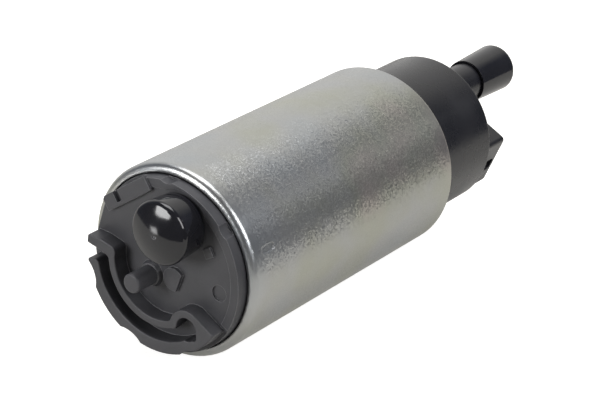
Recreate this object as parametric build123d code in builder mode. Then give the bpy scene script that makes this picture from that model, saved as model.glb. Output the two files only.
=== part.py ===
from build123d import *

import math
import os

# In-tank turbine fuel pump lying along X, in millimetres.
# The inlet face looks to -X and the outlet to +X. The origin is on the motor
# axis, halfway along the steel case. Z is up as the pump lies.

# Steel case
case_diameter = 38.0
case_length = 65.2
case_wall = 1.2
lip_thickness = 1.2
front_lip_reach = 1.6
rear_lip_gap = 0.1
front_edge_radius = 1.3
rear_edge_radius = 0.3
dimple_length = 3.8
dimple_width = 1.4
dimple_depth = 0.25
dimple_setback = 5.1
dimple_angle = 17.6

# Fits
fit_gap = 0.02
running_gap = 0.05
guide_gap = 0.08
body_gap = 0.3

# Inlet cover, the moulded plate that the photograph looks at
face_proud = 2.0
plug_gap = 0.35
inlet_flange_length = 4.8
wall_height = 3.3
wall_rim_setback = 0.75
outer_wall_thickness = 2.55
outer_wall_start = 185.5
outer_wall_end = 325.0
channel_width = 2.6
inner_wall_thickness = 1.55
inner_wall_start = 179.0
shoulder_start = 284.0
cut_overlap = 1.0
notch_land = 0.66
second_notch_angle = 246.5
notch_radius = 5.6
notch_depth = 0.85
foot_notch_angle = 296.0
foot_notch_depth = 0.45
tab_end_angles = (168.1, 174.3)
tab_bend_angles = (167.0, 176.4)
tab_bend_reach = 3.0
tab_root_angle = 168.5
pocket_radius = 2.3
pocket_wall = 1.55
pocket_angle = 305.9
pocket_inset = 4.2
pocket_foot = 1.9
pocket_foot_radius = 0.8
bend_radius = 1.0
wall_corner_radius = 0.4
wall_edge_radius = 0.2
step_height = 2.0
step_width = 0.45
step_start = 258.0
step_end = 288.0
band_height = 0.35
band_width = 1.8
band_start = -32.0
band_end = 106.0
scallop_angles = (37.0, 87.0)
scallop_radius = 2.6
scallop_bite = 0.45
chord_angle = 123.0
chord_depth = 0.6
side_flat_angle = 161.0
ledge_height = 0.9
ledge_depth = 2.9
ledge_left = 6.3
ledge_right = 5.8
ledge_notch_place = -3.3
ledge_notch_width = 1.4
ledge_notch_depth = 2.2
peg_place = (-3.3, -2.4)
peg_radius = 1.9
peg_height = 6.1
peg_collar_radius = 2.6
peg_collar_height = 0.8
peg_collar_taper = 30.0
peg_tip_radius = 0.35
boss_place = (2.2, -2.0)
boss_radius = 2.3
boss_flat_angle = -22.0
boss_flat_reach = 1.35
boss_height = 0.8
pad_angle = 27.2
pad_inset = 5.5
pad_side = 1.9
pad_height = 0.45
recess_angle = -10.1
recess_inset = 4.5
recess_radius = 1.6
recess_depth = 0.4

# Inlet port and its shipping cap
port_angle = 69.2
port_rim_gap = 0.65
port_radius = 5.1
port_bore_radius = 3.6
port_height = 4.2
inlet_cap_mouth_radius = 5.9
inlet_cap_radius = 6.3
inlet_cap_rise = 7.5
inlet_cap_crown = 1.3
inlet_cap_corner = 1.1

# Turbine
impeller_thickness = 3.8
impeller_rim = 0.8
vane_count = 30
vane_length = 2.9
vane_slot_width = 1.5
casing_side_wall = 2.76
casing_length = 8.8
casing_web = 2.2
casing_wall = 2.0
hub_radius = 7.0
discharge_width = 3.0
balance_hole_radius = 1.1
balance_hole_setback = 4.1
pump_channel_depth = 1.2
pump_channel_start = 70.0
pump_channel_end = 380.0
discharge_span = 30.0

# Shaft and bearings
shaft_diameter = 5.0
shaft_flat_depth = 0.6
shaft_chamfer = 0.3
shaft_clearance = 0.32
shaft_end_reach = 0.8
shaft_end_room = 0.5
bearing_outer_radius = 3.9
lower_bearing_length = 4.0
upper_bearing_length = 6.0
upper_bearing_setback = 3.0
button_radius = 2.2
bearing_gap = 0.03
button_thickness = 2.0

# Motor
core_radius = 11.0
slot_count = 8
slot_root_radius = 5.8
slot_top_radius = 9.4
slot_span = 30.0
slot_mouth = 1.4
insulator_thickness = 0.8
winding_room_front = 6.8
winding_room_rear = 6.0
end_turn_length = 4.4
winding_top_radius = 10.0
winding_clearance = 0.15
winding_bore_gap = 0.6
winding_side_gap = 1.0
winding_edge_radius = 0.9
winding_notch_radius = 1.2
winding_notch_circle = 10.4
air_gap = 0.6
magnet_arc = 124.0
magnet_overhang = 2.5
clip_thickness = 0.6
clip_leg_length = 3.6
commutator_radius = 9.8
commutator_thickness = 5.0
segment_gap = 0.6
segment_depth = 1.4
hub_clear_radius = 3.6
hook_reach = 0.8
hook_width = 1.6
hook_length = 1.5

# Brushes
brush_width = 4.4
brush_height = 5.6
brush_length = 9.0
brush_chamfer = 0.4
brush_circle = 7.0
brush_reach = 1.8
brush_spring_length = 9.6
brush_wire = 0.45
brush_spring_radius = 1.7
brush_spring_turns = 6
lead_radius = 0.45
lead_insertion = 1.5

# Outlet cover
outlet_flange_length = 4.6
rear_lip_reach = 3.1
barrel_reach = 19.7
barrel_edge_radius = 0.5
tube_angle = 114.4
tube_wall_gap = 2.13
tube_radius = 4.1
tube_tip_radius = 3.75
tube_bore_radius = 3.0
tube_neck_length = 8.3
tube_tip_length = 10.6
tube_chamfer = 0.4
cored_pocket_depth = 5.0
cored_pocket_width = 5.4
cored_pocket_wall = 2.5
cored_pocket_corner = 0.8
cored_pocket_angles = ((-28.0, 20.0), (27.0, 74.0))

# Electrical socket
socket_angle = 29.0
socket_width = 13.2
socket_rim_setback = 0.5
socket_upper_setback = 2.0
socket_lower_setback = 1.1
socket_span = 10.8
socket_rise = 6.7
socket_wall = 1.3
socket_depth = 10.0
socket_root = 2.0
socket_corner_radius = 0.9
latch_window_width = 3.0
latch_window_length = 3.2
latch_window_setback = 0.6
latch_window_corner = 1.0
blade_width = 2.8
blade_thickness = 0.8
blade_spacing = 5.2
blade_length = 5.6
strip_width = 2.4
strip_setback = 1.0

# Outlet cap
outlet_cap_mouth_radius = 4.6
outlet_cap_end_radius = 5.05
outlet_cap_length = 12.2
outlet_cap_corner = 1.1

# Check valve in the outlet tube
seat_depth = 4.0
seat_length = 2.4
seat_bore_radius = 1.6
poppet_radius = 2.3
poppet_head_length = 1.8
poppet_edge_radius = 0.6
poppet_tail = 0.5
poppet_stem_radius = 0.7
check_spring_length = 6.0
check_wire = 0.35
check_spring_turns = 5
guide_length = 2.0
guide_port_radius = 0.6

# Relief valve
relief_angle = -62.2
relief_wall = 2.96
relief_bore_radius = 2.2
relief_hole_radius = 1.0
relief_depth = 8.3
relief_ball_radius = 1.8
relief_wire = 0.35
relief_spring_turns = 3
relief_plug_thickness = 1.5
relief_vent_radius = 0.8

# Noise chokes
choke_angles = (58.6, 242.2)
choke_wall = 3.05
choke_bore_radius = 2.3
choke_core_radius = 1.3
choke_length = 12.0
choke_wire = 0.6
choke_turns = 7
choke_setback = 0.5


def polar(radius, angle):
    """Point in a plane at a radius and an angle in degrees."""
    return (radius * math.cos(math.radians(angle)), radius * math.sin(math.radians(angle)))


def crossing_angle(radius, reach, other_radius):
    """Angle from the line of centres at which a circle about the axis meets one at a reach."""
    cosine = (radius**2 + reach**2 - other_radius**2) / (2 * radius * reach)
    return math.degrees(math.acos(cosine))


# Radii that follow from the sizes above
case_radius = case_diameter / 2
case_inner_radius = case_radius - case_wall
front_lip_radius = case_radius - front_lip_reach
plug_radius = front_lip_radius - plug_gap
cover_radius = case_inner_radius - fit_gap
barrel_radius = case_radius - rear_lip_reach
rear_lip_radius = barrel_radius + rear_lip_gap
outer_wall_radius = plug_radius - wall_rim_setback
channel_outer_radius = outer_wall_radius - outer_wall_thickness
channel_inner_radius = channel_outer_radius - channel_width
inner_wall_radius = channel_inner_radius - inner_wall_thickness
pocket_outer_radius = pocket_radius + pocket_wall
band_inner_radius = plug_radius - band_width
impeller_radius = cover_radius - casing_side_wall
vane_tip_radius = impeller_radius - impeller_rim
vane_root_radius = vane_tip_radius - vane_length
vane_circle = (vane_root_radius + vane_tip_radius) / 2
balance_hole_circle = vane_root_radius - balance_hole_setback
shaft_radius = shaft_diameter / 2
magnet_inner_radius = core_radius + air_gap
socket_outer_radius = barrel_radius - socket_rim_setback
socket_inner_reach = socket_outer_radius - socket_span
cored_pocket_outer = barrel_radius - cored_pocket_wall
cored_pocket_inner = cored_pocket_outer - cored_pocket_width

# Angles round the inlet cover where its circles cross
notch_reach = outer_wall_radius - notch_depth + notch_radius
notch_half_angle = crossing_angle(outer_wall_radius, notch_reach, notch_radius)
notch_land_angle = math.degrees(notch_land / outer_wall_radius)
first_notch_angle = outer_wall_start + notch_land_angle + notch_half_angle
pocket_reach = outer_wall_radius - pocket_inset
loop_angle = pocket_angle - crossing_angle(inner_wall_radius, pocket_reach, pocket_outer_radius)
pocket_mouth_angle = pocket_angle - crossing_angle(channel_inner_radius, pocket_reach, pocket_radius)

# Places across the axis: of the inlet cover as seen from the inlet, then of the outlet cover
pocket_place = polar(pocket_reach, pocket_angle)
port_place = polar(plug_radius - inlet_cap_radius - port_rim_gap, port_angle)
pad_place = polar(plug_radius - pad_inset, pad_angle)
recess_place = polar(plug_radius - recess_inset, recess_angle)
tube_place = polar(barrel_radius - tube_radius - tube_wall_gap, tube_angle)
relief_place = polar(barrel_radius - relief_bore_radius - relief_wall, relief_angle)
choke_places = [polar(barrel_radius - choke_bore_radius - choke_wall, angle) for angle in choke_angles]

# Stations along X, from the inlet face to the outlet
case_front = -case_length / 2
case_rear = case_length / 2
inlet_face = case_front - face_proud
inlet_flange_front = case_front + lip_thickness
chamber_front = inlet_flange_front + inlet_flange_length
recess_floor = chamber_front + impeller_thickness + 2 * running_gap
casing_rear = chamber_front + casing_length
core_front = casing_rear + winding_room_front
outlet_flange_rear = case_rear - lip_thickness
outlet_inner_face = outlet_flange_rear - outlet_flange_length
commutator_rear = outlet_inner_face - brush_reach
commutator_front = commutator_rear - commutator_thickness
core_rear = commutator_front - winding_room_rear
core_length = core_rear - core_front
brush_front = commutator_rear + running_gap
brush_rear = brush_front + brush_length
tunnel_end = brush_rear + brush_spring_length
strip_front = tunnel_end + strip_setback
upper_bearing_front = outlet_inner_face + upper_bearing_setback
shaft_front = chamber_front + running_gap
shaft_rear = upper_bearing_front + upper_bearing_length + shaft_end_reach
barrel_end = case_rear + barrel_reach
tube_neck_end = barrel_end + tube_neck_length
tube_end = tube_neck_end + tube_tip_length
socket_end = barrel_end + socket_rise
socket_floor = socket_end - socket_depth
seat_front = barrel_end - seat_depth
poppet_front = seat_front + seat_length + fit_gap
poppet_shoulder = poppet_front + poppet_head_length
guide_front = poppet_shoulder + check_spring_length
relief_floor = barrel_end - relief_depth
cap_mouth = tube_neck_end + body_gap


def section(x, turn=0):
    """Plane square to the motor axis with Y to the right and Z up, turned by an angle."""
    turned = math.radians(turn)
    return Plane(origin=(x, 0, 0), x_dir=(0, math.cos(turned), math.sin(turned)), z_dir=(1, 0, 0))


def inlet_view(height, turn=0):
    """Plane seen from the inlet side, at a height above the case's front lip, turned by an angle."""
    turned = math.radians(turn)
    return Plane(
        origin=(case_front - height, 0, 0),
        x_dir=(0, -math.cos(turned), math.sin(turned)),
        z_dir=(-1, 0, 0),
    )


def upright_edge(cover, place):
    """Edge along X whose end at the wall's top lies nearest a place seen from the inlet."""
    corner = Vector(inlet_face - wall_height, -place[0], place[1])
    return cover.edges().filter_by(Axis.X).sort_by_distance(corner)[0]


def ring_sector(inner, outer, start, end):
    """Flat sector of a ring between two radii and two angles."""
    with BuildSketch() as sector:
        with BuildLine():
            CenterArc((0, 0), outer, start, end - start)
            CenterArc((0, 0), inner, start, end - start)
            Line(polar(inner, start), polar(outer, start))
            Line(polar(inner, end), polar(outer, end))
        make_face()
    return sector.sketch


def coil_spring(start, end, place, radius, wire, turns):
    """Helical spring of round wire along X between two stations."""
    rise = end - start - wire
    foot = (start + wire / 2, place[0], place[1])
    with BuildPart() as spring:
        with BuildLine() as path:
            Helix(pitch=rise / turns, height=rise, radius=radius, center=foot, direction=(1, 0, 0))
        with BuildSketch(Plane(origin=path.line @ 0, z_dir=path.line % 0)):
            Circle(wire / 2)
        sweep(path=path.line, is_frenet=True)
    return spring.part


os.makedirs("parts", exist_ok=True)

# Case: a drawn steel tube with both ends rolled in over the covers.
with BuildPart() as case:
    with BuildSketch(Plane.XY):
        with BuildLine():
            Polyline(
                (case_front, front_lip_radius),
                (case_front, case_radius),
                (case_rear, case_radius),
                (case_rear, rear_lip_radius),
                (outlet_flange_rear, rear_lip_radius),
                (outlet_flange_rear, case_inner_radius),
                (inlet_flange_front, case_inner_radius),
                (inlet_flange_front, front_lip_radius),
                close=True,
            )
        make_face()
    revolve(axis=Axis.X)
    front_edge = case.edges().filter_by(GeomType.CIRCLE).group_by(Axis.X)[0].sort_by(SortBy.RADIUS)[-1]
    fillet(front_edge, front_edge_radius)
    rear_edge = case.edges().filter_by(GeomType.CIRCLE).group_by(Axis.X)[-1].sort_by(SortBy.RADIUS)[-1]
    fillet(rear_edge, rear_edge_radius)
    dimple_out = (0, -math.cos(math.radians(dimple_angle)), math.sin(math.radians(dimple_angle)))
    dimple_origin = (
        case_front + dimple_setback,
        dimple_out[1] * case_radius,
        dimple_out[2] * case_radius,
    )
    with BuildSketch(Plane(origin=dimple_origin, x_dir=(1, 0, 0), z_dir=dimple_out)):
        SlotOverall(dimple_length, dimple_width)
    extrude(amount=-dimple_depth, mode=Mode.SUBTRACT)
case.part.label = "case"
export_step(case.part, "parts/case.step")

# Inlet cover: plate, flange behind the rolled lip, and all that stands on the face.
with BuildPart() as inlet_cover:
    with BuildSketch(section(inlet_flange_front)):
        Circle(cover_radius)
    extrude(amount=inlet_flange_length)
    with BuildSketch(section(inlet_face)):
        Circle(plug_radius)
    extrude(amount=face_proud + lip_thickness)

    # Raised band round the right side, cut back round the port.
    with BuildSketch(inlet_view(face_proud)):
        add(ring_sector(band_inner_radius, plug_radius, band_start, band_end))
        with Locations(port_place):
            Circle(inlet_cap_radius + body_gap, mode=Mode.SUBTRACT)
    extrude(amount=band_height)

    # Stepped ledge along the flat at the upper left.
    chord_distance = plug_radius - chord_depth
    with BuildSketch(inlet_view(face_proud, chord_angle - 90)):
        with BuildLine():
            Polyline(
                (-ledge_left, chord_distance - ledge_depth),
                (ledge_right, chord_distance - ledge_depth),
                (ledge_right, chord_distance),
                (ledge_notch_place + ledge_notch_width, chord_distance),
                (ledge_notch_place + ledge_notch_width, chord_distance - ledge_notch_depth),
                (ledge_notch_place, chord_distance - ledge_notch_depth),
                (ledge_notch_place, chord_distance),
                (-ledge_left, chord_distance),
                close=True,
            )
        make_face()
    extrude(amount=ledge_height)

    # Double wall: from the tab at the rim the inner wall turns down and round, loops about
    # the pocket and ends in the broad shoulder; the outer wall shuts the channel from outside.
    with BuildSketch(inlet_view(face_proud)):
        shoulder_tip = polar(outer_wall_radius, outer_wall_end)
        tip_distance = math.dist(pocket_place, shoulder_tip)
        tip_angle = math.atan2(shoulder_tip[1] - pocket_place[1], shoulder_tip[0] - pocket_place[0])
        tangent_angle = math.degrees(tip_angle + math.acos(pocket_outer_radius / tip_distance))
        tangent_reach = polar(pocket_outer_radius, tangent_angle)
        tangent_point = (pocket_place[0] + tangent_reach[0], pocket_place[1] + tangent_reach[1])
        with BuildLine():
            shoulder_span = outer_wall_end - shoulder_start
            CenterArc((0, 0), outer_wall_radius, shoulder_start, shoulder_span)
            Polyline(shoulder_tip, tangent_point, pocket_place, polar(outer_wall_radius, shoulder_start))
        make_face()
        with Locations(pocket_place):
            Circle(pocket_outer_radius)
        add(ring_sector(inner_wall_radius, outer_wall_radius, inner_wall_start, pocket_angle))
        mouth_radius = outer_wall_radius + cut_overlap
        cut_start = inner_wall_start - cut_overlap
        mouth = ring_sector(channel_inner_radius, mouth_radius, cut_start, outer_wall_start)
        add(mouth, mode=Mode.SUBTRACT)
        channel = ring_sector(channel_inner_radius, channel_outer_radius, cut_start, pocket_angle)
        add(channel, mode=Mode.SUBTRACT)
        with Locations(pocket_place):
            Circle(pocket_radius, mode=Mode.SUBTRACT)
            foot_align = (Align.MIN, Align.MAX)
            Rectangle(pocket_radius, pocket_foot, align=foot_align, mode=Mode.SUBTRACT)
        with BuildLine():
            Polyline(
                polar(outer_wall_radius, tab_end_angles[0]),
                polar(outer_wall_radius - tab_bend_reach, tab_bend_angles[0]),
                polar(inner_wall_radius, tab_root_angle),
                polar(inner_wall_radius, inner_wall_start + cut_overlap),
                polar(channel_inner_radius, inner_wall_start + cut_overlap),
                polar(outer_wall_radius - tab_bend_reach, tab_bend_angles[1]),
                polar(outer_wall_radius, tab_end_angles[1]),
                close=True,
            )
        make_face()
        for angle in (first_notch_angle, second_notch_angle):
            with Locations(polar(notch_reach, angle)):
                Circle(notch_radius, mode=Mode.SUBTRACT)
        with Locations(polar(outer_wall_radius - foot_notch_depth + notch_radius, foot_notch_angle)):
            Circle(notch_radius, mode=Mode.SUBTRACT)
    extrude(amount=wall_height)
    bends = (
        polar(inner_wall_radius, tab_root_angle),
        polar(channel_inner_radius, inner_wall_start + cut_overlap),
        polar(inner_wall_radius, loop_angle),
        polar(channel_inner_radius, pocket_mouth_angle),
        polar(channel_outer_radius, outer_wall_start),
    )
    fillet([upright_edge(inlet_cover, bend) for bend in bends], bend_radius)
    pocket_corner = (pocket_place[0] + pocket_radius, pocket_place[1] - pocket_foot)
    fillet(upright_edge(inlet_cover, pocket_corner), pocket_foot_radius)
    corners = (
        polar(outer_wall_radius, outer_wall_start),
        polar(outer_wall_radius, tab_end_angles[0]),
        polar(outer_wall_radius, tab_end_angles[1]),
        shoulder_tip,
    )
    fillet([upright_edge(inlet_cover, corner) for corner in corners], wall_corner_radius)
    wall_tops = inlet_cover.faces().filter_by(Axis.X).group_by(Axis.X)[0]
    fillet(wall_tops.edges(), wall_edge_radius)

    # Low step at the foot of the inner wall, inside the channel.
    with BuildSketch(inlet_view(face_proud)):
        add(ring_sector(channel_inner_radius, channel_inner_radius + step_width, step_start, step_end))
    extrude(amount=step_height)

    # Filter peg on its collar, half-round boss and small pad.
    with BuildSketch(inlet_view(face_proud)):
        with Locations(peg_place):
            Circle(peg_collar_radius)
    extrude(amount=peg_collar_height, taper=peg_collar_taper)
    with BuildSketch(inlet_view(face_proud)):
        with Locations(peg_place):
            Circle(peg_radius)
    extrude(amount=peg_height)
    peg_tip = inlet_cover.edges().filter_by(GeomType.CIRCLE).group_by(Axis.X)[0]
    fillet(peg_tip, peg_tip_radius)
    with BuildSketch(inlet_view(face_proud)):
        with Locations(boss_place):
            Circle(boss_radius)
            with Locations(polar(boss_flat_reach + boss_radius, boss_flat_angle)):
                boss_side = 2 * boss_radius
                Rectangle(boss_side, boss_side, rotation=boss_flat_angle, mode=Mode.SUBTRACT)
    extrude(amount=boss_height)
    with BuildSketch(inlet_view(face_proud)):
        with Locations(pad_place):
            Rectangle(pad_side, pad_side, rotation=pad_angle)
    extrude(amount=pad_height)

    # Inlet nipple, its bore and the pump channel on the inner face.
    with BuildSketch(inlet_view(face_proud)):
        with Locations(port_place):
            Circle(port_radius)
    extrude(amount=port_height)
    with BuildSketch(inlet_view(face_proud + port_height)):
        with Locations(port_place):
            Circle(port_bore_radius)
    extrude(amount=-(port_height + chamber_front - inlet_face), mode=Mode.SUBTRACT)
    with BuildSketch(section(chamber_front)):
        add(ring_sector(vane_root_radius, vane_tip_radius, pump_channel_start, pump_channel_end))
    extrude(amount=-pump_channel_depth, mode=Mode.SUBTRACT)
    with BuildSketch(section(chamber_front)):
        Circle(button_radius + fit_gap)
    extrude(amount=-button_thickness, mode=Mode.SUBTRACT)

    # Two flats on the rim, round scallops and the shallow round recess.
    for angle in (chord_angle, side_flat_angle):
        with BuildSketch(inlet_view(face_proud + ledge_height, angle)):
            with Locations((chord_distance + plug_radius / 2, 0)):
                Rectangle(plug_radius, 2 * plug_radius)
        extrude(amount=-(ledge_height + face_proud), mode=Mode.SUBTRACT)
    with BuildSketch(inlet_view(face_proud + band_height)):
        for angle in scallop_angles:
            with Locations(polar(plug_radius - scallop_bite + scallop_radius, angle)):
                Circle(scallop_radius)
    extrude(amount=-(band_height + face_proud), mode=Mode.SUBTRACT)
    with BuildSketch(inlet_view(face_proud)):
        with Locations(recess_place):
            Circle(recess_radius)
    extrude(amount=-recess_depth, mode=Mode.SUBTRACT)
inlet_cover.part.label = "inlet_cover"
export_step(inlet_cover.part, "parts/inlet_cover.step")

# Inlet cap: a dipped vinyl cap with a crowned end over the nipple.
port_axis = Axis((inlet_face, -port_place[0], port_place[1]), (-1, 0, 0))
cap_rise = inlet_cap_rise - body_gap
cap_base = Plane(
    origin=(inlet_face - body_gap, -port_place[0], port_place[1]), x_dir=(-1, 0, 0), z_dir=(0, 0, 1)
)
with BuildPart() as inlet_cap:
    with BuildSketch(cap_base) as cap_outline:
        with BuildLine():
            crown_foot = cap_rise - inlet_cap_crown
            Polyline((cap_rise, 0), (0, 0), (0, inlet_cap_mouth_radius), (crown_foot, inlet_cap_radius))
            TangentArc((cap_rise, 0), (crown_foot, inlet_cap_radius), tangent=(0, 1))
        make_face()
        fillet(cap_outline.vertices().sort_by(Axis.Y)[-1], inlet_cap_corner)
    revolve(axis=port_axis)
    with BuildSketch(inlet_view(face_proud + body_gap)):
        with Locations(port_place):
            Circle(port_radius + running_gap)
    extrude(amount=port_height, mode=Mode.SUBTRACT)
inlet_cap.part.label = "inlet_cap"
export_step(inlet_cap.part, "parts/inlet_cap.step")

# Thrust button that the shaft's end runs against.
with BuildPart() as thrust_button:
    with BuildSketch(section(chamber_front - button_thickness)):
        Circle(button_radius)
    extrude(amount=button_thickness)
thrust_button.part.label = "thrust_button"
export_step(thrust_button.part, "parts/thrust_button.step")

# Pump casing: impeller recess in front, bearing hub and outer wall behind.
with BuildPart() as pump_casing:
    with BuildSketch(section(chamber_front)):
        Circle(cover_radius)
    extrude(amount=casing_length)
    with BuildSketch(section(chamber_front)):
        Circle(impeller_radius + guide_gap)
    extrude(amount=recess_floor - chamber_front, mode=Mode.SUBTRACT)
    with BuildSketch(section(recess_floor + casing_web)):
        Circle(cover_radius - casing_wall)
        Circle(hub_radius, mode=Mode.SUBTRACT)
    extrude(amount=casing_length, mode=Mode.SUBTRACT)
    with BuildSketch(section(recess_floor)):
        add(ring_sector(vane_root_radius, vane_tip_radius, pump_channel_start, pump_channel_end))
    extrude(amount=pump_channel_depth, mode=Mode.SUBTRACT)
    with BuildSketch(section(recess_floor)):
        discharge_inner = vane_circle - discharge_width / 2
        discharge_outer = vane_circle + discharge_width / 2
        discharge_end = pump_channel_start + discharge_span
        add(ring_sector(discharge_inner, discharge_outer, pump_channel_start, discharge_end))
        Circle(shaft_radius + shaft_clearance)
    extrude(amount=casing_length, mode=Mode.SUBTRACT)
    with BuildSketch(section(casing_rear - lower_bearing_length)):
        Circle(bearing_outer_radius + fit_gap)
    extrude(amount=lower_bearing_length, mode=Mode.SUBTRACT)
pump_casing.part.label = "pump_casing"
export_step(pump_casing.part, "parts/pump_casing.step")

# Plain carbon bearings, one in the casing hub and one in the outlet cover.
with BuildPart() as lower_bearing:
    with BuildSketch(section(casing_rear - lower_bearing_length)):
        Circle(bearing_outer_radius)
        Circle(shaft_radius + bearing_gap, mode=Mode.SUBTRACT)
    extrude(amount=lower_bearing_length)
lower_bearing.part.label = "lower_bearing"
export_step(lower_bearing.part, "parts/lower_bearing.step")

with BuildPart() as upper_bearing:
    with BuildSketch(section(upper_bearing_front)):
        Circle(bearing_outer_radius)
        Circle(shaft_radius + bearing_gap, mode=Mode.SUBTRACT)
    extrude(amount=upper_bearing_length)
upper_bearing.part.label = "upper_bearing"
export_step(upper_bearing.part, "parts/upper_bearing.step")

# Shaft with a flat that drives the impeller.
with BuildPart() as shaft:
    with BuildSketch(section(shaft_front)):
        Circle(shaft_radius)
    extrude(amount=shaft_rear - shaft_front)
    chamfer(shaft.edges().filter_by(GeomType.CIRCLE), shaft_chamfer)
    with BuildSketch(section(shaft_front)):
        with Locations((0, 2 * shaft_radius - shaft_flat_depth)):
            Rectangle(2 * shaft_radius, 2 * shaft_radius)
    extrude(amount=impeller_thickness + 2 * running_gap, mode=Mode.SUBTRACT)
shaft.part.label = "shaft"
export_step(shaft.part, "parts/shaft.step")

# Impeller: a ring of vanes between a hub disc and a thin rim.
with BuildPart() as impeller:
    with BuildSketch(section(chamber_front + running_gap)):
        Circle(impeller_radius)
        with BuildSketch(mode=Mode.PRIVATE) as bore:
            Circle(shaft_radius + fit_gap)
            with Locations((0, 2 * shaft_radius - shaft_flat_depth + fit_gap)):
                Rectangle(2 * shaft_radius, 2 * shaft_radius, mode=Mode.SUBTRACT)
        add(bore.sketch, mode=Mode.SUBTRACT)
        with PolarLocations(balance_hole_circle, 4, start_angle=45):
            Circle(balance_hole_radius, mode=Mode.SUBTRACT)
        with PolarLocations(vane_circle, vane_count):
            Rectangle(vane_tip_radius - vane_root_radius, vane_slot_width, mode=Mode.SUBTRACT)
    extrude(amount=impeller_thickness)
impeller.part.label = "impeller"
export_step(impeller.part, "parts/impeller.step")


def slots(inner, outer, span):
    """Ring sectors for the armature's slots."""
    with BuildSketch() as ring:
        with PolarLocations(0, slot_count):
            add(ring_sector(inner, outer, -span / 2, span / 2))
    return ring.sketch


# Armature: laminated core with eight slots, end insulators and windings.
with BuildPart() as armature_core:
    with BuildSketch(section(core_front)):
        Circle(core_radius)
        Circle(shaft_radius + fit_gap, mode=Mode.SUBTRACT)
        add(slots(slot_root_radius, slot_top_radius, slot_span), mode=Mode.SUBTRACT)
        with PolarLocations((slot_top_radius + core_radius) / 2, slot_count):
            Rectangle(core_radius - slot_top_radius + 2 * cut_overlap, slot_mouth, mode=Mode.SUBTRACT)
    extrude(amount=core_length)
armature_core.part.label = "armature_core"
export_step(armature_core.part, "parts/armature_core.step")

for end, station in (("front", core_front - insulator_thickness), ("rear", core_rear)):
    with BuildPart() as insulator:
        with BuildSketch(section(station)):
            Circle(slot_top_radius + fit_gap)
            Circle(shaft_radius + fit_gap, mode=Mode.SUBTRACT)
            add(slots(slot_root_radius, core_radius, slot_span), mode=Mode.SUBTRACT)
        extrude(amount=insulator_thickness)
    insulator.part.label = f"insulator_{end}"
    export_step(insulator.part, f"parts/insulator_{end}.step")

winding_front = core_front - insulator_thickness - end_turn_length
winding_rear = core_rear + insulator_thickness + end_turn_length
with BuildPart() as windings:
    for station in (winding_front, core_rear + insulator_thickness):
        with BuildSketch(section(station)):
            Circle(winding_top_radius)
            Circle(shaft_radius + winding_bore_gap, mode=Mode.SUBTRACT)
            with PolarLocations(winding_notch_circle, slot_count, start_angle=180 / slot_count):
                Circle(winding_notch_radius, mode=Mode.SUBTRACT)
        extrude(amount=end_turn_length)
    for station, pick in ((winding_front, 0), (winding_rear, -1)):
        rim = windings.faces().filter_by(Axis.X).group_by(Axis.X)[pick].edges()
        fillet(rim, winding_edge_radius)
    with BuildSketch(section(winding_front + end_turn_length)):
        winding_root_radius = slot_root_radius + winding_clearance
        winding_span = slot_span - 2 * winding_side_gap
        add(slots(winding_root_radius, slot_top_radius - winding_clearance, winding_span))
    extrude(amount=core_length + 2 * insulator_thickness)
windings.part.label = "windings"
export_step(windings.part, "parts/windings.step")

# Flat commutator: the brushes press on its rear face.
with BuildPart() as commutator:
    with BuildSketch(section(commutator_front)):
        Circle(commutator_radius)
        Circle(shaft_radius + fit_gap, mode=Mode.SUBTRACT)
    extrude(amount=commutator_thickness)
    with BuildSketch(section(commutator_front)):
        with PolarLocations(commutator_radius, slot_count, start_angle=180 / slot_count):
            Rectangle(hook_reach * 2, hook_width)
    extrude(amount=hook_length)
    with BuildSketch(section(commutator_rear)):
        with PolarLocations(commutator_radius, slot_count):
            Rectangle(2 * (commutator_radius - hub_clear_radius), segment_gap)
    extrude(amount=-segment_depth, mode=Mode.SUBTRACT)
commutator.part.label = "commutator"
export_step(commutator.part, "parts/commutator.step")

# Two arc magnets, and the spring clips that hold them against the case.
magnet_outer_radius = case_inner_radius - fit_gap
magnet_front = core_front - magnet_overhang
magnet_length = core_length + 2 * magnet_overhang
for number, middle in ((1, 90), (2, 270)):
    with BuildPart() as magnet:
        with BuildSketch(section(magnet_front)):
            start = middle - magnet_arc / 2
            add(ring_sector(magnet_inner_radius, magnet_outer_radius, start, start + magnet_arc))
        extrude(amount=magnet_length)
    magnet.part.label = f"magnet_{number}"
    export_step(magnet.part, f"parts/magnet_{number}.step")

clip_half_angle = 90 - magnet_arc / 2 - math.degrees(fit_gap / magnet_inner_radius)
clip_leg_angle = math.degrees(clip_thickness / magnet_outer_radius)
for number, middle in ((1, 0), (2, 180)):
    with BuildPart() as magnet_clip:
        with BuildSketch(section(magnet_front)):
            start = middle - clip_half_angle
            end = middle + clip_half_angle
            add(ring_sector(magnet_outer_radius - clip_thickness, magnet_outer_radius, start, end))
            leg_foot = magnet_outer_radius - clip_leg_length
            add(ring_sector(leg_foot, magnet_outer_radius, start, start + clip_leg_angle))
            add(ring_sector(leg_foot, magnet_outer_radius, end - clip_leg_angle, end))
        extrude(amount=magnet_length)
    magnet_clip.part.label = f"magnet_clip_{number}"
    export_step(magnet_clip.part, f"parts/magnet_clip_{number}.step")


def socket_view(x):
    """Section plane turned so that its x axis runs out through the socket's middle."""
    return section(x, 180 + socket_angle)


def socket_profile(inset):
    """Outline of the socket's shroud, drawn in by a distance: nearly flat towards the rim."""
    inner = socket_inner_reach + inset
    upper = barrel_radius - socket_upper_setback - inset
    lower = barrel_radius - socket_lower_setback - inset
    side = socket_width / 2 - inset
    with BuildSketch() as outline:
        with BuildLine():
            Polyline((inner, -side), (upper, -side), (lower, side), (inner, side), close=True)
        make_face()
        fillet(outline.vertices(), socket_corner_radius)
        Circle(socket_outer_radius - inset, mode=Mode.INTERSECT)
    return outline.sketch


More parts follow.
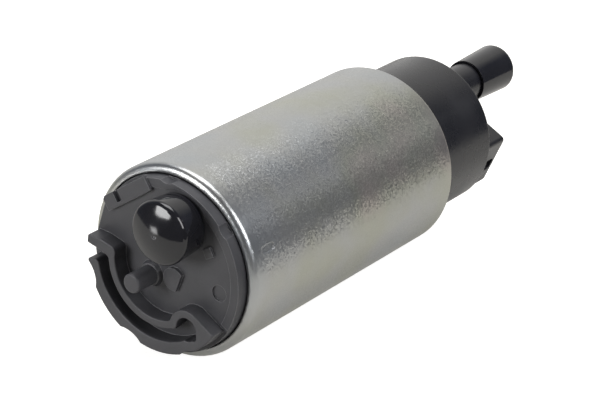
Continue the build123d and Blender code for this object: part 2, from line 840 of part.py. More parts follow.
# Brass terminals: a strip from each brush lead, and a blade in the socket.
blade_reach = (socket_inner_reach + socket_outer_radius) / 2
terminals = []
for name, brush_side, blade_side in (("positive", -1, -1), ("negative", 1, 1)):
    blade_angle = math.radians(180 + socket_angle)
    blade_offset = blade_side * blade_spacing / 2
    blade_foot = (
        blade_reach * math.cos(blade_angle) - blade_offset * math.sin(blade_angle),
        blade_reach * math.sin(blade_angle) + blade_offset * math.cos(blade_angle),
    )
    brush_foot = (brush_side * brush_circle, 0)
    run = (blade_foot[0] - brush_foot[0], blade_foot[1] - brush_foot[1])
    middle = ((blade_foot[0] + brush_foot[0]) / 2, (blade_foot[1] + brush_foot[1]) / 2)
    with BuildPart() as terminal:
        with BuildSketch(section(strip_front)):
            with Locations(middle):
                strip_turn = math.degrees(math.atan2(run[1], run[0]))
                SlotCenterToCenter(math.hypot(*run), strip_width, rotation=strip_turn)
        extrude(amount=blade_thickness)
        with BuildSketch(socket_view(strip_front)):
            with Locations((blade_reach, blade_offset)):
                Rectangle(blade_width, blade_thickness)
        extrude(amount=socket_floor + blade_length - strip_front)
        blade_tip = terminal.faces().filter_by(Axis.X).sort_by(Axis.X)[-1]
        chamfer(blade_tip.edges().group_by(SortBy.LENGTH)[-1], blade_thickness / 4)
    terminal.part.label = f"terminal_{name}"
    export_step(terminal.part, f"parts/terminal_{name}.step")
    terminals.append(terminal.part)

# Outlet cover: flange in the case, barrel, outlet tube and electrical socket.
with BuildPart() as outlet_cover:
    with BuildSketch(section(outlet_flange_rear)):
        Circle(barrel_radius)
    extrude(amount=barrel_end - outlet_flange_rear)
    fillet(outlet_cover.edges().filter_by(GeomType.CIRCLE).sort_by(Axis.X)[-1], barrel_edge_radius)
    with BuildSketch(section(outlet_inner_face)):
        Circle(cover_radius)
    extrude(amount=outlet_flange_length)
    with BuildSketch(section(barrel_end)):
        with Locations(tube_place):
            Circle(tube_radius)
    extrude(amount=tube_neck_length)
    with BuildSketch(section(tube_neck_end)):
        with Locations(tube_place):
            Circle(tube_tip_radius)
    extrude(amount=tube_tip_length)
    tube_rim = outlet_cover.edges().filter_by(GeomType.CIRCLE).sort_by(Axis.X)[-1]
    chamfer(tube_rim, tube_chamfer)
    with BuildSketch(section(outlet_inner_face)):
        with Locations(tube_place):
            Circle(tube_bore_radius)
    extrude(amount=tube_end - outlet_inner_face, mode=Mode.SUBTRACT)

    # Socket shroud, its cavity and the latch window in its outer wall.
    with BuildSketch(socket_view(barrel_end - socket_root)):
        add(socket_profile(0))
    extrude(amount=socket_rise + socket_root)
    with BuildSketch(socket_view(socket_floor)):
        add(socket_profile(socket_wall))
    extrude(amount=socket_depth, mode=Mode.SUBTRACT)
    socket_out = polar(1, 180 + socket_angle)
    window_middle = socket_end - latch_window_setback - latch_window_length / 2
    window_origin = (window_middle, socket_outer_radius * socket_out[0], socket_outer_radius * socket_out[1])
    with BuildSketch(Plane(origin=window_origin, x_dir=(1, 0, 0), z_dir=(0, *socket_out))):
        RectangleRounded(latch_window_length, latch_window_width, latch_window_corner)
    extrude(amount=-3 * socket_wall, mode=Mode.SUBTRACT)

    # Brush guides, lead holes and the moulded-in terminals.
    for side in (-1, 1):
        with BuildSketch(section(outlet_inner_face)):
            with Locations((side * brush_circle, 0)):
                Rectangle(brush_width + 2 * guide_gap, brush_height + 2 * guide_gap)
        extrude(amount=tunnel_end - outlet_inner_face, mode=Mode.SUBTRACT)
        with BuildSketch(section(tunnel_end)):
            with Locations((side * brush_circle, 0)):
                Circle(lead_radius + guide_gap)
        extrude(amount=strip_front - tunnel_end, mode=Mode.SUBTRACT)
    for terminal_solid in terminals:
        add(terminal_solid, mode=Mode.SUBTRACT)

    # Bearing seat and shaft hole.
    with BuildSketch(section(outlet_inner_face)):
        Circle(bearing_outer_radius + fit_gap)
    extrude(amount=upper_bearing_front + upper_bearing_length - outlet_inner_face, mode=Mode.SUBTRACT)
    with BuildSketch(section(outlet_inner_face)):
        Circle(shaft_radius + shaft_clearance)
    extrude(amount=shaft_rear + shaft_end_room - outlet_inner_face, mode=Mode.SUBTRACT)

    # Relief valve bore, choke bores and the cored pockets of the end face.
    with BuildSketch(section(outlet_inner_face)):
        with Locations(relief_place):
            Circle(relief_hole_radius)
    extrude(amount=barrel_end - outlet_inner_face, mode=Mode.SUBTRACT)
    with BuildSketch(section(relief_floor)):
        with Locations(relief_place):
            Circle(relief_bore_radius)
    extrude(amount=barrel_end - relief_floor, mode=Mode.SUBTRACT)
    with BuildSketch(section(outlet_inner_face)):
        with Locations(*choke_places):
            Circle(choke_bore_radius)
    extrude(amount=choke_length + choke_setback, mode=Mode.SUBTRACT)
    for start, end in cored_pocket_angles:
        with BuildSketch(section(barrel_end)) as pocket:
            add(ring_sector(cored_pocket_inner, cored_pocket_outer, start, end))
            fillet(pocket.vertices(), cored_pocket_corner)
        extrude(amount=-cored_pocket_depth, mode=Mode.SUBTRACT)
outlet_cover.part.label = "outlet_cover"
export_step(outlet_cover.part, "parts/outlet_cover.step")

# Brushes, their springs and their copper leads.
for number, side in ((1, -1), (2, 1)):
    with BuildPart() as brush:
        with BuildSketch(section(brush_front)):
            with Locations((side * brush_circle, 0)):
                Rectangle(brush_width, brush_height)
        extrude(amount=brush_length)
        chamfer(brush.faces().sort_by(Axis.X)[-1].edges(), brush_chamfer)
        with BuildSketch(section(brush_rear)):
            with Locations((side * brush_circle, 0)):
                Circle(lead_radius + fit_gap)
        extrude(amount=-lead_insertion, mode=Mode.SUBTRACT)
    brush.part.label = f"brush_{number}"
    export_step(brush.part, f"parts/brush_{number}.step")

    brush_spring = coil_spring(
        brush_rear + fit_gap, tunnel_end - fit_gap, (side * brush_circle, 0),
        brush_spring_radius, brush_wire, brush_spring_turns,
    )
    brush_spring.label = f"brush_spring_{number}"
    export_step(brush_spring, f"parts/brush_spring_{number}.step")

    with BuildPart() as brush_lead:
        with BuildSketch(section(brush_rear - lead_insertion)):
            with Locations((side * brush_circle, 0)):
                Circle(lead_radius)
        extrude(amount=strip_front - brush_rear + lead_insertion)
    brush_lead.part.label = f"brush_lead_{number}"
    export_step(brush_lead.part, f"parts/brush_lead_{number}.step")

# Noise chokes: a coil on a ferrite core in each choke bore.
choke_front = outlet_inner_face + choke_setback
for number, place in enumerate(choke_places, start=1):
    with BuildPart() as choke_core:
        with BuildSketch(section(choke_front)):
            with Locations(place):
                Circle(choke_core_radius)
        extrude(amount=choke_length)
    choke_core.part.label = f"choke_core_{number}"
    export_step(choke_core.part, f"parts/choke_core_{number}.step")

    choke_coil = coil_spring(
        choke_front + choke_wire, choke_front + choke_length - choke_wire, place,
        choke_core_radius + choke_wire / 2 + fit_gap, choke_wire, choke_turns,
    )
    choke_coil.label = f"choke_coil_{number}"
    export_step(choke_coil, f"parts/choke_coil_{number}.step")

# Check valve in the outlet tube: seat, poppet, spring and guide.
with BuildPart() as check_seat:
    with BuildSketch(section(seat_front)):
        with Locations(tube_place):
            Circle(tube_bore_radius - fit_gap)
            Circle(seat_bore_radius, mode=Mode.SUBTRACT)
    extrude(amount=seat_length)
check_seat.part.label = "check_seat"
export_step(check_seat.part, "parts/check_seat.step")

with BuildPart() as check_poppet:
    with BuildSketch(section(poppet_front)):
        with Locations(tube_place):
            Circle(poppet_radius)
    extrude(amount=poppet_head_length)
    poppet_edge = check_poppet.edges().filter_by(GeomType.CIRCLE).sort_by(Axis.X)[0]
    fillet(poppet_edge, poppet_edge_radius)
    with BuildSketch(section(poppet_shoulder)):
        with Locations(tube_place):
            Circle(poppet_stem_radius)
    extrude(amount=check_spring_length + guide_length + poppet_tail)
check_poppet.part.label = "check_poppet"
export_step(check_poppet.part, "parts/check_poppet.step")

check_spring = coil_spring(
    poppet_shoulder + fit_gap, guide_front - fit_gap, tube_place,
    (poppet_stem_radius + poppet_radius) / 2 - check_wire / 2, check_wire, check_spring_turns,
)
check_spring.label = "check_spring"
export_step(check_spring, "parts/check_spring.step")

with BuildPart() as check_guide:
    with BuildSketch(section(guide_front)):
        with Locations(tube_place):
            Circle(tube_bore_radius - fit_gap)
            Circle(poppet_stem_radius + running_gap, mode=Mode.SUBTRACT)
            with PolarLocations((tube_bore_radius + poppet_stem_radius) / 2, 4):
                Circle(guide_port_radius, mode=Mode.SUBTRACT)
    extrude(amount=guide_length)
check_guide.part.label = "check_guide"
export_step(check_guide.part, "parts/check_guide.step")

# Outlet cap: a vinyl cap over the tube's tip, a little wider at its closed end.
tube_axis = Axis((cap_mouth, tube_place[0], tube_place[1]), (1, 0, 0))
cap_plane = Plane(origin=(cap_mouth, tube_place[0], tube_place[1]), x_dir=(1, 0, 0), z_dir=(0, 0, 1))
with BuildPart() as outlet_cap:
    with BuildSketch(cap_plane) as cap_outline:
        with BuildLine():
            Polyline(
                (0, 0),
                (0, outlet_cap_mouth_radius),
                (outlet_cap_length, outlet_cap_end_radius),
                (outlet_cap_length, 0),
                close=True,
            )
        make_face()
        fillet(cap_outline.vertices().group_by(Axis.X)[-1].sort_by(Axis.Y)[-1], outlet_cap_corner)
    revolve(axis=tube_axis)
    with BuildSketch(section(cap_mouth)):
        with Locations(tube_place):
            Circle(tube_tip_radius + running_gap)
    extrude(amount=tube_tip_length, mode=Mode.SUBTRACT)
outlet_cap.part.label = "outlet_cap"
export_step(outlet_cap.part, "parts/outlet_cap.step")

# Relief valve in the end face: ball, spring and vented plug.
ball_centre = relief_floor + math.sqrt(relief_ball_radius**2 - relief_hole_radius**2) + fit_gap
relief_spring_radius = relief_bore_radius - relief_wire - 2 * guide_gap
ball_reach = math.sqrt(relief_ball_radius**2 - (relief_spring_radius - relief_wire / 2) ** 2)
plug_rear = barrel_end - body_gap
plug_front = plug_rear - relief_plug_thickness
with BuildPart() as relief_ball:
    with Locations((ball_centre, relief_place[0], relief_place[1])):
        Sphere(relief_ball_radius)
relief_ball.part.label = "relief_ball"
export_step(relief_ball.part, "parts/relief_ball.step")

relief_spring = coil_spring(
    ball_centre + ball_reach + fit_gap, plug_front - fit_gap, relief_place,
    relief_spring_radius, relief_wire, relief_spring_turns,
)
relief_spring.label = "relief_spring"
export_step(relief_spring, "parts/relief_spring.step")

with BuildPart() as relief_plug:
    with BuildSketch(section(plug_front)):
        with Locations(relief_place):
            Circle(relief_bore_radius - fit_gap)
            Circle(relief_vent_radius, mode=Mode.SUBTRACT)
    extrude(amount=relief_plug_thickness)
relief_plug.part.label = "relief_plug"
export_step(relief_plug.part, "parts/relief_plug.step")
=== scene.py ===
import math

import bpy
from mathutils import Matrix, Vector


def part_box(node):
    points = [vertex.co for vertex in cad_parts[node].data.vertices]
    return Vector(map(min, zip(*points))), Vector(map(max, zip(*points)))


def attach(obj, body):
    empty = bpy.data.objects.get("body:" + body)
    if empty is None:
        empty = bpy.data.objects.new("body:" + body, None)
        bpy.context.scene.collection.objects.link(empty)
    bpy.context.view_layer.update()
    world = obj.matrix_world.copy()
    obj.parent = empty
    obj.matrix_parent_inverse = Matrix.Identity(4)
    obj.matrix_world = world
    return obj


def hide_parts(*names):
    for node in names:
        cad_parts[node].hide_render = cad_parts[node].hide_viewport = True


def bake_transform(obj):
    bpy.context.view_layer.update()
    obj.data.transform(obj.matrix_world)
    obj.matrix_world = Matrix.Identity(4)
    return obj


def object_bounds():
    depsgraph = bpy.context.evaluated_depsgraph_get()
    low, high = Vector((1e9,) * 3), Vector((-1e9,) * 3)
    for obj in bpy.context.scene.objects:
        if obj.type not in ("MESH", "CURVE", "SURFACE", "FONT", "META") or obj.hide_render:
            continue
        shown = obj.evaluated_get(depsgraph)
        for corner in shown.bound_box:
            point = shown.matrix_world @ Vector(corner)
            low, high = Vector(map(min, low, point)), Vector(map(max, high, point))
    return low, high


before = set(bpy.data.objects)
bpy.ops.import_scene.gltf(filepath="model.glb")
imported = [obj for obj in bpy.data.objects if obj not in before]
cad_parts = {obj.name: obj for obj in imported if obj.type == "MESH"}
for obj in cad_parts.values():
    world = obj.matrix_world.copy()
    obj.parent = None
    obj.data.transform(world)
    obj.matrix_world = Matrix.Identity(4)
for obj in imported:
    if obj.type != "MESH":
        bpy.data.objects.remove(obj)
cad_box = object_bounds()

MM = 0.001
WHITE = (1.0, 1.0, 1.0, 1.0)

# Camera, as solved from the photograph's frame of 600 by 400 pixels.
FRAME_WIDTH = 600
FOCAL_PIXELS = 2167.9
SENSOR_WIDTH = 36.0
CAMERA_AZIMUTH = math.radians(-53.636)
CAMERA_ELEVATION = math.radians(22.987)
CAMERA_DISTANCE = 422.8 * MM
CAMERA_NEAREST = 10 * MM
TARGET_RIGHT = 4.044 * MM
TARGET_UP = 1.107 * MM

# Noise seldom leaves this range, so tones and roughness are spread over it.
NOISE_LOW = 0.3
NOISE_HIGH = 0.7
ROUGHNESS_SWING = 0.05
MOULDED_CLOUD = 7 * MM
METAL_EDGE = 0.1 * MM
BEVEL_SAMPLES = 6

# Match of the real and the softened normal at which an edge starts to turn pale, and is fully pale: partly
# wear, partly a painted highlight along the edges.
WEAR_AND_HIGHLIGHT_START = 0.99
WEAR_AND_HIGHLIGHT_FULL = 0.88

# Zinc plate. Its cells tilt less and less on the rim's length, and least in its core at the case's end.
ZINC_TONES = (
    (0.32, (0.395, 0.415, 0.43)),
    (0.45, (0.42, 0.425, 0.42)),
    (0.57, (0.41, 0.415, 0.365)),
    (0.68, (0.455, 0.42, 0.39)),
)
ZINC_CLOUD = 26 * MM
ZINC_CELL = 0.19 * MM
ZINC_CELL_MEAN = (0.5, 0.5, 0.5)
ZINC_TILT = 0.27
ZINC_RIM_TILT = 0.10
ZINC_RIM_LENGTH = 4.0 * MM
ZINC_RIM_CORE = 1.2 * MM
ZINC_EDGE = 0.3 * MM
ZINC_GRAIN = 0.35 * MM
ZINC_GRAIN_DEPTH = 0.0015 * MM
ZINC_ROUGHNESS = (0.31, 0.36)

# Armature coils: turns across and deep in each slot, and how their end turns rise and spread.
SLOT_COUNT = 8
COIL_SPAN = 3
WIRES_ACROSS = 5
WIRES_DEEP = 3
WIRE_RADIUS = 0.24 * MM
WIRE_ROUNDING = 1
WIRE_SPACING = math.radians(5.0)
WIRE_PITCH = 0.54 * MM
WIRE_RISE = 0.52 * MM
OUTER_RADIUS = 9.0 * MM
INNER_RADIUS = 7.3 * MM
END_TURN_LENGTH = 4.4 * MM
END_TURN_TOP = 4.0 * MM
END_TURN_FOOT = 0.2 * MM
END_TURN_SHOULDER = 0.6
END_TURN_STEPS = 14

# The floor stops near the pump on the camera's side, so the pump's gloss shows the dark room there.
FLOOR_NEAR = (-105.0 * MM, -100.0 * MM)
FLOOR_FAR = 900.0 * MM
FLOOR_COLOUR = (0.52, 0.505, 0.47)

# The floor's own glow, as the camera sees it and as the pump's gloss sees it.
FLOOR_LIFT = 0.86
FLOOR_GLOSS_LIFT = 0.20

# Tone of the room against how far behind the pump it lies, seen from the camera.
ROOM_TONES = (
    (0.0, (0.10, 0.10, 0.11)),
    (0.40, (0.105, 0.12, 0.165)),
    (0.60, (0.80, 0.79, 0.76)),
    (0.95, (1.0, 0.99, 0.97)),
)


def new_material(name):
    """An empty node material, with its tree, its shader and the object's own coordinates."""
    made = bpy.data.materials.new(name)
    made.use_nodes = True
    tree = made.node_tree
    place = tree.nodes.new("ShaderNodeTexCoord")
    return made, tree, tree.nodes["Principled BSDF"], place.outputs["Object"]


def noise(tree, place, feature, detail):
    """Noise whose features measure about the given size, in metres."""
    node = tree.nodes.new("ShaderNodeTexNoise")
    node.inputs["Scale"].default_value = 1 / feature
    node.inputs["Detail"].default_value = detail
    tree.links.new(place, node.inputs["Vector"])
    return node.outputs["Fac"]


def ramp(tree, factor, *stops):
    """Colour ramp through (position, colour) stops."""
    node = tree.nodes.new("ShaderNodeValToRGB")
    points = node.color_ramp.elements
    while len(points) < len(stops):
        points.new(0.5)
    for point, (position, colour) in zip(points, stops):
        point.position = position
        point.color = (*colour, 1.0)
    tree.links.new(factor, node.inputs["Fac"])
    return node.outputs["Color"]


def map_range(tree, value, source, target):
    """The value carried from one (low, high) range to another."""
    node = tree.nodes.new("ShaderNodeMapRange")
    node.inputs["From Min"].default_value = source[0]
    node.inputs["From Max"].default_value = source[1]
    node.inputs["To Min"].default_value = target[0]
    node.inputs["To Max"].default_value = target[1]
    tree.links.new(value, node.inputs["Value"])
    return node.outputs["Result"]


def spread(tree, factor, low, high):
    """A noise's usual range mapped to low and high."""
    return map_range(tree, factor, (NOISE_LOW, NOISE_HIGH), (low, high))


def vector_math(tree, operation, *sources):
    """Vector maths node fed by one or two sockets."""
    node = tree.nodes.new("ShaderNodeVectorMath")
    node.operation = operation
    for source, socket in zip(sources, node.inputs):
        tree.links.new(source, socket)
    return node


def bump(tree, height, depth, normal):
    """Bump of a given depth in metres, over another normal."""
    node = tree.nodes.new("ShaderNodeBump")
    node.inputs["Distance"].default_value = depth
    tree.links.new(height, node.inputs["Height"])
    tree.links.new(normal, node.inputs["Normal"])
    return node.outputs["Normal"]


def rounded(tree, radius):
    """Normals that look as if each edge had a small radius."""
    node = tree.nodes.new("ShaderNodeBevel")
    node.inputs["Radius"].default_value = radius
    node.samples = BEVEL_SAMPLES
    return node.outputs["Normal"]


def sparkle(tree, place):
    """Softened normals tilted cell by cell, and less on the case's rolled rims."""
    cells = tree.nodes.new("ShaderNodeTexVoronoi")
    cells.inputs["Scale"].default_value = 1 / ZINC_CELL
    tree.links.new(place, cells.inputs["Vector"])
    centred = vector_math(tree, "SUBTRACT", cells.outputs["Color"])
    centred.inputs[1].default_value = ZINC_CELL_MEAN
    along = tree.nodes.new("ShaderNodeSeparateXYZ")
    tree.links.new(place, along.inputs["Vector"])
    from_middle = tree.nodes.new("ShaderNodeMath")
    from_middle.operation = "ABSOLUTE"
    tree.links.new(along.outputs["X"], from_middle.inputs[0])
    case_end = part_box("case")[1][0]
    rim = (case_end - ZINC_RIM_LENGTH, case_end - ZINC_RIM_CORE)
    amount = map_range(tree, from_middle.outputs["Value"], rim, (ZINC_TILT, ZINC_RIM_TILT))
    tilt = vector_math(tree, "SCALE", centred.outputs["Vector"])
    tree.links.new(amount, tilt.inputs["Scale"])
    tilted = vector_math(tree, "ADD", rounded(tree, ZINC_EDGE), tilt.outputs["Vector"])
    return vector_math(tree, "NORMALIZE", tilted.outputs["Vector"]).outputs["Vector"]


def zinc_steel():
    """Satin zinc plate: warm and cool clouds with a fine sandy sparkle."""
    made, tree, shader, place = new_material("zinc_steel")
    clouds = noise(tree, place, ZINC_CLOUD, detail=3.0)
    grain = noise(tree, place, ZINC_GRAIN, detail=3.0)
    uneven = bump(tree, grain, ZINC_GRAIN_DEPTH, sparkle(tree, place))
    tree.links.new(ramp(tree, clouds, *ZINC_TONES), shader.inputs["Base Color"])
    tree.links.new(spread(tree, grain, *ZINC_ROUGHNESS), shader.inputs["Roughness"])
    tree.links.new(uneven, shader.inputs["Normal"])
    shader.inputs["Metallic"].default_value = 1.0
    return made


def edge_mask(tree, soft_normal):
    """One where the softened normal leaves the real one, along the edges; elsewhere zero."""
    geometry = tree.nodes.new("ShaderNodeNewGeometry")
    match = vector_math(tree, "DOT_PRODUCT", soft_normal, geometry.outputs["Normal"])
    return map_range(tree, match.outputs["Value"], (WEAR_AND_HIGHLIGHT_START, WEAR_AND_HIGHLIGHT_FULL), (0.0, 1.0))


def moulded(name, dark, light, rough, grain_size, grain_depth, edge, wear_and_highlight=None):
    """Moulded plastic with slight cloudiness, a fine grain and softened edges, paled along the edges:
    partly wear, partly a painted highlight.
    """
    made, tree, shader, place = new_material(name)
    clouds = noise(tree, place, MOULDED_CLOUD, detail=4.0)
    grain = noise(tree, place, grain_size, detail=2.0)
    soft_normal = rounded(tree, edge)
    roughness = spread(tree, clouds, rough - ROUGHNESS_SWING, rough + ROUGHNESS_SWING)
    colour = ramp(tree, clouds, (NOISE_LOW, dark), (NOISE_HIGH, light))
    # Pale edges: partly wear, partly a painted highlight standing in for light that catches the edges.
    if wear_and_highlight is not None:
        blend = tree.nodes.new("ShaderNodeMix")
        blend.data_type = "RGBA"
        tree.links.new(edge_mask(tree, soft_normal), blend.inputs["Factor"])
        tree.links.new(colour, blend.inputs["A"])
        blend.inputs["B"].default_value = (*wear_and_highlight, 1.0)
        colour = blend.outputs["Result"]
    tree.links.new(colour, shader.inputs["Base Color"])
    tree.links.new(roughness, shader.inputs["Roughness"])
    tree.links.new(bump(tree, grain, grain_depth, soft_normal), shader.inputs["Normal"])
    return made


def metal(name, dark, light, rough, grain_size, grain_depth):
    """Plain metal with a slight tone and roughness variation."""
    made, tree, shader, place = new_material(name)
    grain = noise(tree, place, grain_size, detail=3.0)
    roughness = spread(tree, grain, rough - ROUGHNESS_SWING, rough + ROUGHNESS_SWING)
    colour = ramp(tree, grain, (NOISE_LOW, dark), (NOISE_HIGH, light))
    uneven = bump(tree, grain, grain_depth, rounded(tree, METAL_EDGE))
    tree.links.new(colour, shader.inputs["Base Color"])
    tree.links.new(roughness, shader.inputs["Roughness"])
    tree.links.new(uneven, shader.inputs["Normal"])
    shader.inputs["Metallic"].default_value = 1.0
    return made


def paint(made, *names):
    """Gives CAD nodes a material in place of their own."""
    for name in names:
        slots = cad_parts[name].data.materials
        slots.clear()
        slots.append(made)


def smooth_mesh(curve, name):
    """Smooth mesh object made from a curve, which isn't kept."""
    shell = bpy.data.objects.new("shell", curve)
    bpy.context.scene.collection.objects.link(shell)
    shape = shell.evaluated_get(bpy.context.evaluated_depsgraph_get())
    mesh = bpy.data.meshes.new_from_object(shape)
    bpy.data.objects.remove(shell)
    bpy.data.curves.remove(curve)
    mesh.name = name
    mesh.shade_smooth()
    made = bpy.data.objects.new(name, mesh)
    bpy.context.scene.collection.objects.link(made)
    return made


def end_turn(start, stop, face, out, top):
    """Points of one turn's arc past an end face, from (angle, radius) to (angle, radius)."""
    points = []
    for step in range(END_TURN_STEPS + 1):
        part = step / END_TURN_STEPS
        angle = start[0] + (stop[0] - start[0]) * part
        radius = start[1] + (stop[1] - start[1]) * part
        rise = END_TURN_FOOT + (top - END_TURN_FOOT) * math.sin(math.pi * part) ** END_TURN_SHOULDER
        points.append((face + out * rise, radius * math.cos(angle), radius * math.sin(angle)))
    return points


def winding_wires(made):
    """The armature's coils as wire: each lies outside in one slot and inside in the third one on."""
    low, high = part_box("windings")
    front = low[0] + END_TURN_LENGTH
    rear = high[0] - END_TURN_LENGTH
    slot_pitch = 2 * math.pi / SLOT_COUNT
    curve = bpy.data.curves.new("turns", "CURVE")
    curve.dimensions = "3D"
    curve.bevel_depth = WIRE_RADIUS
    curve.bevel_resolution = WIRE_ROUNDING
    for coil in range(SLOT_COUNT):
        for across in range(WIRES_ACROSS):
            aside = WIRE_SPACING * (across - (WIRES_ACROSS - 1) / 2)
            top = END_TURN_TOP - WIRE_RISE * across
            for deep in range(WIRES_DEEP):
                start = (coil * slot_pitch + aside, OUTER_RADIUS - WIRE_PITCH * deep)
                stop = ((coil + COIL_SPAN) * slot_pitch - aside, INNER_RADIUS - WIRE_PITCH * deep)
                points = end_turn(start, stop, front, -1, top) + end_turn(stop, start, rear, 1, top)
                turn = curve.splines.new("POLY")
                turn.points.add(len(points) - 1)
                turn.use_cyclic_u = True
                for point, place in zip(turn.points, points):
                    point.co = (*place, 1.0)
    wires = smooth_mesh(curve, "winding_wires")
    wires.data.materials.clear()
    wires.data.materials.append(made)
    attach(wires, "rotor")
    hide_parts("windings")


def flexing(name):
    """A spring or lead copied as a mesh of its own, in place of its CAD node."""
    made = bpy.data.objects.new(name + "_flexing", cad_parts[name].data.copy())
    bpy.context.scene.collection.objects.link(made)
    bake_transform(made)
    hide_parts(name)


def camera():
    """Camera at the photograph's viewing angle."""
    toward = Vector((
        math.sin(CAMERA_AZIMUTH) * math.cos(CAMERA_ELEVATION),
        -math.cos(CAMERA_AZIMUTH) * math.cos(CAMERA_ELEVATION),
        math.sin(CAMERA_ELEVATION),
    ))
    right = (-toward).cross(Vector((0, 0, 1))).normalized()
    up = right.cross(-toward)
    data = bpy.data.cameras.new("camera")
    data.sensor_width = SENSOR_WIDTH
    data.lens = FOCAL_PIXELS / FRAME_WIDTH * SENSOR_WIDTH
    data.clip_start = CAMERA_NEAREST
    made = bpy.data.objects.new("camera", data)
    made.location = right * TARGET_RIGHT + up * TARGET_UP + toward * CAMERA_DISTANCE
    made.rotation_euler = (-toward).to_track_quat("-Z", "Y").to_euler()
    bpy.context.scene.collection.objects.link(made)
    bpy.context.scene.camera = made


def softbox(name, place, size, power):
    """Area lamp at a place, aimed at the pump."""
    data = bpy.data.lights.new(name, "AREA")
    data.shape = "RECTANGLE"
    data.size, data.size_y = size
    data.energy = power
    made = bpy.data.objects.new(name, data)
    made.location = place
    made.rotation_euler = (-Vector(place)).to_track_quat("-Z", "Y").to_euler()
    bpy.context.scene.collection.objects.link(made)


def floor_surface():
    """Pale matt surface that takes shadows, with its glow for the camera and for gloss."""
    surface = bpy.data.materials.new("floor")
    surface.use_nodes = True
    tree = surface.node_tree
    tree.nodes.clear()
    diffuse = tree.nodes.new("ShaderNodeBsdfDiffuse")
    diffuse.inputs["Color"].default_value = (*FLOOR_COLOUR, 1.0)
    glow = tree.nodes.new("ShaderNodeEmission")
    path = tree.nodes.new("ShaderNodeLightPath")
    lift = tree.nodes.new("ShaderNodeMath")
    lift.operation = "MULTIPLY"
    lift.inputs[1].default_value = FLOOR_LIFT
    tree.links.new(path.outputs["Is Camera Ray"], lift.inputs[0])
    gloss = tree.nodes.new("ShaderNodeMath")
    gloss.operation = "MULTIPLY_ADD"
    gloss.inputs[1].default_value = FLOOR_GLOSS_LIFT
    tree.links.new(path.outputs["Is Glossy Ray"], gloss.inputs[0])
    tree.links.new(lift.outputs[0], gloss.inputs[2])
    tree.links.new(gloss.outputs[0], glow.inputs["Strength"])
    both = tree.nodes.new("ShaderNodeAddShader")
    tree.links.new(diffuse.outputs[0], both.inputs[0])
    tree.links.new(glow.outputs[0], both.inputs[1])
    out = tree.nodes.new("ShaderNodeOutputMaterial")
    tree.links.new(both.outputs[0], out.inputs["Surface"])
    return surface


def floor():
    """Floor under the pump that keeps its shadow."""
    level = cad_box[0][2]
    mesh = bpy.data.meshes.new("floor")
    near_x, near_y = FLOOR_NEAR
    corners = [
        (near_x, near_y, level),
        (FLOOR_FAR, near_y, level),
        (FLOOR_FAR, FLOOR_FAR, level),
        (near_x, FLOOR_FAR, level),
    ]
    mesh.from_pydata(corners, [], [(0, 1, 2, 3)])
    mesh.materials.append(floor_surface())
    made = bpy.data.objects.new("floor", mesh)
    bpy.context.scene.collection.objects.link(made)


def studio():
    """White to the camera; for the pump, pale behind it and dim on the camera's side."""
    world = bpy.data.worlds.new("studio")
    world.use_nodes = True
    tree = world.node_tree
    tree.nodes.clear()
    place = tree.nodes.new("ShaderNodeTexCoord")
    across = vector_math(tree, "DOT_PRODUCT", place.outputs["Generated"])
    across.inputs[1].default_value = (-math.sin(CAMERA_AZIMUTH), math.cos(CAMERA_AZIMUTH), 0.0)
    around = tree.nodes.new("ShaderNodeBackground")
    tree.links.new(ramp(tree, across.outputs["Value"], *ROOM_TONES), around.inputs["Color"])
    seen = tree.nodes.new("ShaderNodeBackground")
    seen.inputs["Color"].default_value = WHITE
    path = tree.nodes.new("ShaderNodeLightPath")
    pick = tree.nodes.new("ShaderNodeMixShader")
    tree.links.new(path.outputs["Is Camera Ray"], pick.inputs["Fac"])
    tree.links.new(around.outputs[0], pick.inputs[1])
    tree.links.new(seen.outputs[0], pick.inputs[2])
    out = tree.nodes.new("ShaderNodeOutputWorld")
    tree.links.new(pick.outputs[0], out.inputs["Surface"])
    bpy.context.scene.world = world


paint(zinc_steel(), "case")

# The charcoal's pale edge colour is partly wear and partly a painted highlight along its edges.
charcoal_plastic = moulded(
    "charcoal_plastic",
    dark=(0.041, 0.041, 0.046),
    light=(0.059, 0.059, 0.065),
    rough=0.48,
    grain_size=0.3 * MM,
    grain_depth=0.02 * MM,
    edge=0.2 * MM,
    wear_and_highlight=(0.20, 0.20, 0.21),
)
paint(charcoal_plastic, "inlet_cover")

black_plastic = moulded(
    "black_plastic",
    dark=(0.006, 0.006, 0.008),
    light=(0.010, 0.010, 0.013),
    rough=0.28,
    grain_size=0.35 * MM,
    grain_depth=0.008 * MM,
    edge=0.25 * MM,
)
paint(black_plastic, "outlet_cover")

black_vinyl = moulded(
    "black_vinyl",
    dark=(0.009, 0.009, 0.011),
    light=(0.013, 0.013, 0.016),
    rough=0.10,
    grain_size=2.5 * MM,
    grain_depth=0.02 * MM,
    edge=0.05 * MM,
)
paint(black_vinyl, "inlet_cap", "outlet_cap")

grey_plastic = moulded(
    "grey_plastic",
    dark=(0.09, 0.09, 0.095),
    light=(0.12, 0.12, 0.125),
    rough=0.5,
    grain_size=0.3 * MM,
    grain_depth=0.01 * MM,
    edge=0.15 * MM,
)
paint(grey_plastic, "pump_casing")

carbon = moulded(
    "carbon",
    dark=(0.02, 0.02, 0.022),
    light=(0.035, 0.035, 0.037),
    rough=0.55,
    grain_size=0.12 * MM,
    grain_depth=0.01 * MM,
    edge=0.08 * MM,
)
paint(carbon, "lower_bearing", "upper_bearing", "brush_1", "brush_2")

phenolic = moulded(
    "phenolic",
    dark=(0.09, 0.04, 0.02),
    light=(0.15, 0.075, 0.035),
    rough=0.45,
    grain_size=0.2 * MM,
    grain_depth=0.01 * MM,
    edge=0.08 * MM,
)
paint(phenolic, "impeller")

nylon = moulded(
    "nylon",
    dark=(0.62, 0.60, 0.52),
    light=(0.72, 0.70, 0.62),
    rough=0.42,
    grain_size=0.4 * MM,
    grain_depth=0.005 * MM,
    edge=0.1 * MM,
)
paint(nylon, "insulator_front", "insulator_rear", "check_poppet", "check_guide")

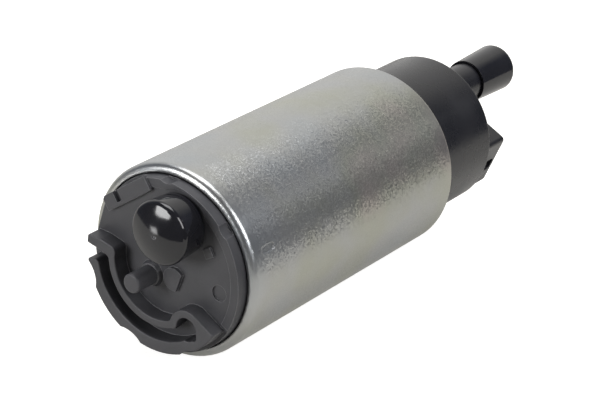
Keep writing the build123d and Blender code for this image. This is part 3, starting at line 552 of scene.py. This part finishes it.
ferrite = moulded(
    "ferrite",
    dark=(0.045, 0.045, 0.05),
    light=(0.08, 0.08, 0.085),
    rough=0.6,
    grain_size=0.15 * MM,
    grain_depth=0.015 * MM,
    edge=0.15 * MM,
)
paint(ferrite, "magnet_1", "magnet_2", "choke_core_1", "choke_core_2")

bright_steel = metal(
    "bright_steel",
    dark=(0.55, 0.55, 0.56),
    light=(0.64, 0.64, 0.65),
    rough=0.22,
    grain_size=0.3 * MM,
    grain_depth=0.002 * MM,
)
paint(bright_steel, "shaft", "thrust_button", "magnet_clip_1", "magnet_clip_2", "relief_ball")

spring_steel = metal(
    "spring_steel",
    dark=(0.42, 0.42, 0.43),
    light=(0.52, 0.52, 0.53),
    rough=0.3,
    grain_size=0.3 * MM,
    grain_depth=0.002 * MM,
)
paint(spring_steel, "brush_spring_1", "brush_spring_2", "check_spring", "relief_spring")

laminated_steel = metal(
    "laminated_steel",
    dark=(0.28, 0.28, 0.29),
    light=(0.40, 0.40, 0.41),
    rough=0.45,
    grain_size=0.3 * MM,
    grain_depth=0.01 * MM,
)
paint(laminated_steel, "armature_core")

enamelled_copper = metal(
    "enamelled_copper",
    dark=(0.50, 0.16, 0.05),
    light=(0.62, 0.23, 0.08),
    rough=0.25,
    grain_size=0.5 * MM,
    grain_depth=0.01 * MM,
)
paint(enamelled_copper, "choke_coil_1", "choke_coil_2")
winding_wires(enamelled_copper)

copper = metal(
    "copper",
    dark=(0.68, 0.33, 0.19),
    light=(0.76, 0.40, 0.24),
    rough=0.3,
    grain_size=0.3 * MM,
    grain_depth=0.004 * MM,
)
paint(copper, "commutator", "brush_lead_1", "brush_lead_2")

brass = metal(
    "brass",
    dark=(0.70, 0.52, 0.22),
    light=(0.80, 0.62, 0.30),
    rough=0.28,
    grain_size=0.4 * MM,
    grain_depth=0.004 * MM,
)
paint(brass, "terminal_positive", "terminal_negative", "check_seat", "relief_plug")

flexing("brush_spring_1")
flexing("brush_spring_2")
flexing("brush_lead_1")
flexing("brush_lead_2")
flexing("check_spring")
flexing("relief_spring")

camera()
floor()
studio()

# Places and sizes are in metres, powers in watts.
softbox("key", place=(0.05, 0.05, 0.60), size=(0.45, 0.35), power=2.6)
softbox("front", place=(-0.54, 0.23, 0.14), size=(0.22, 0.24), power=2.0)
softbox("edge", place=(-0.04, -0.47, 0.31), size=(0.26, 0.34), power=2.0)
softbox("spark", place=(0.41, -0.36, 0.27), size=(0.03, 0.03), power=0.045)
softbox("glint", place=(-0.34, 0.23, -0.114), size=(0.06, 0.06), power=0.08)

bpy.context.scene.view_settings.view_transform = "Standard"
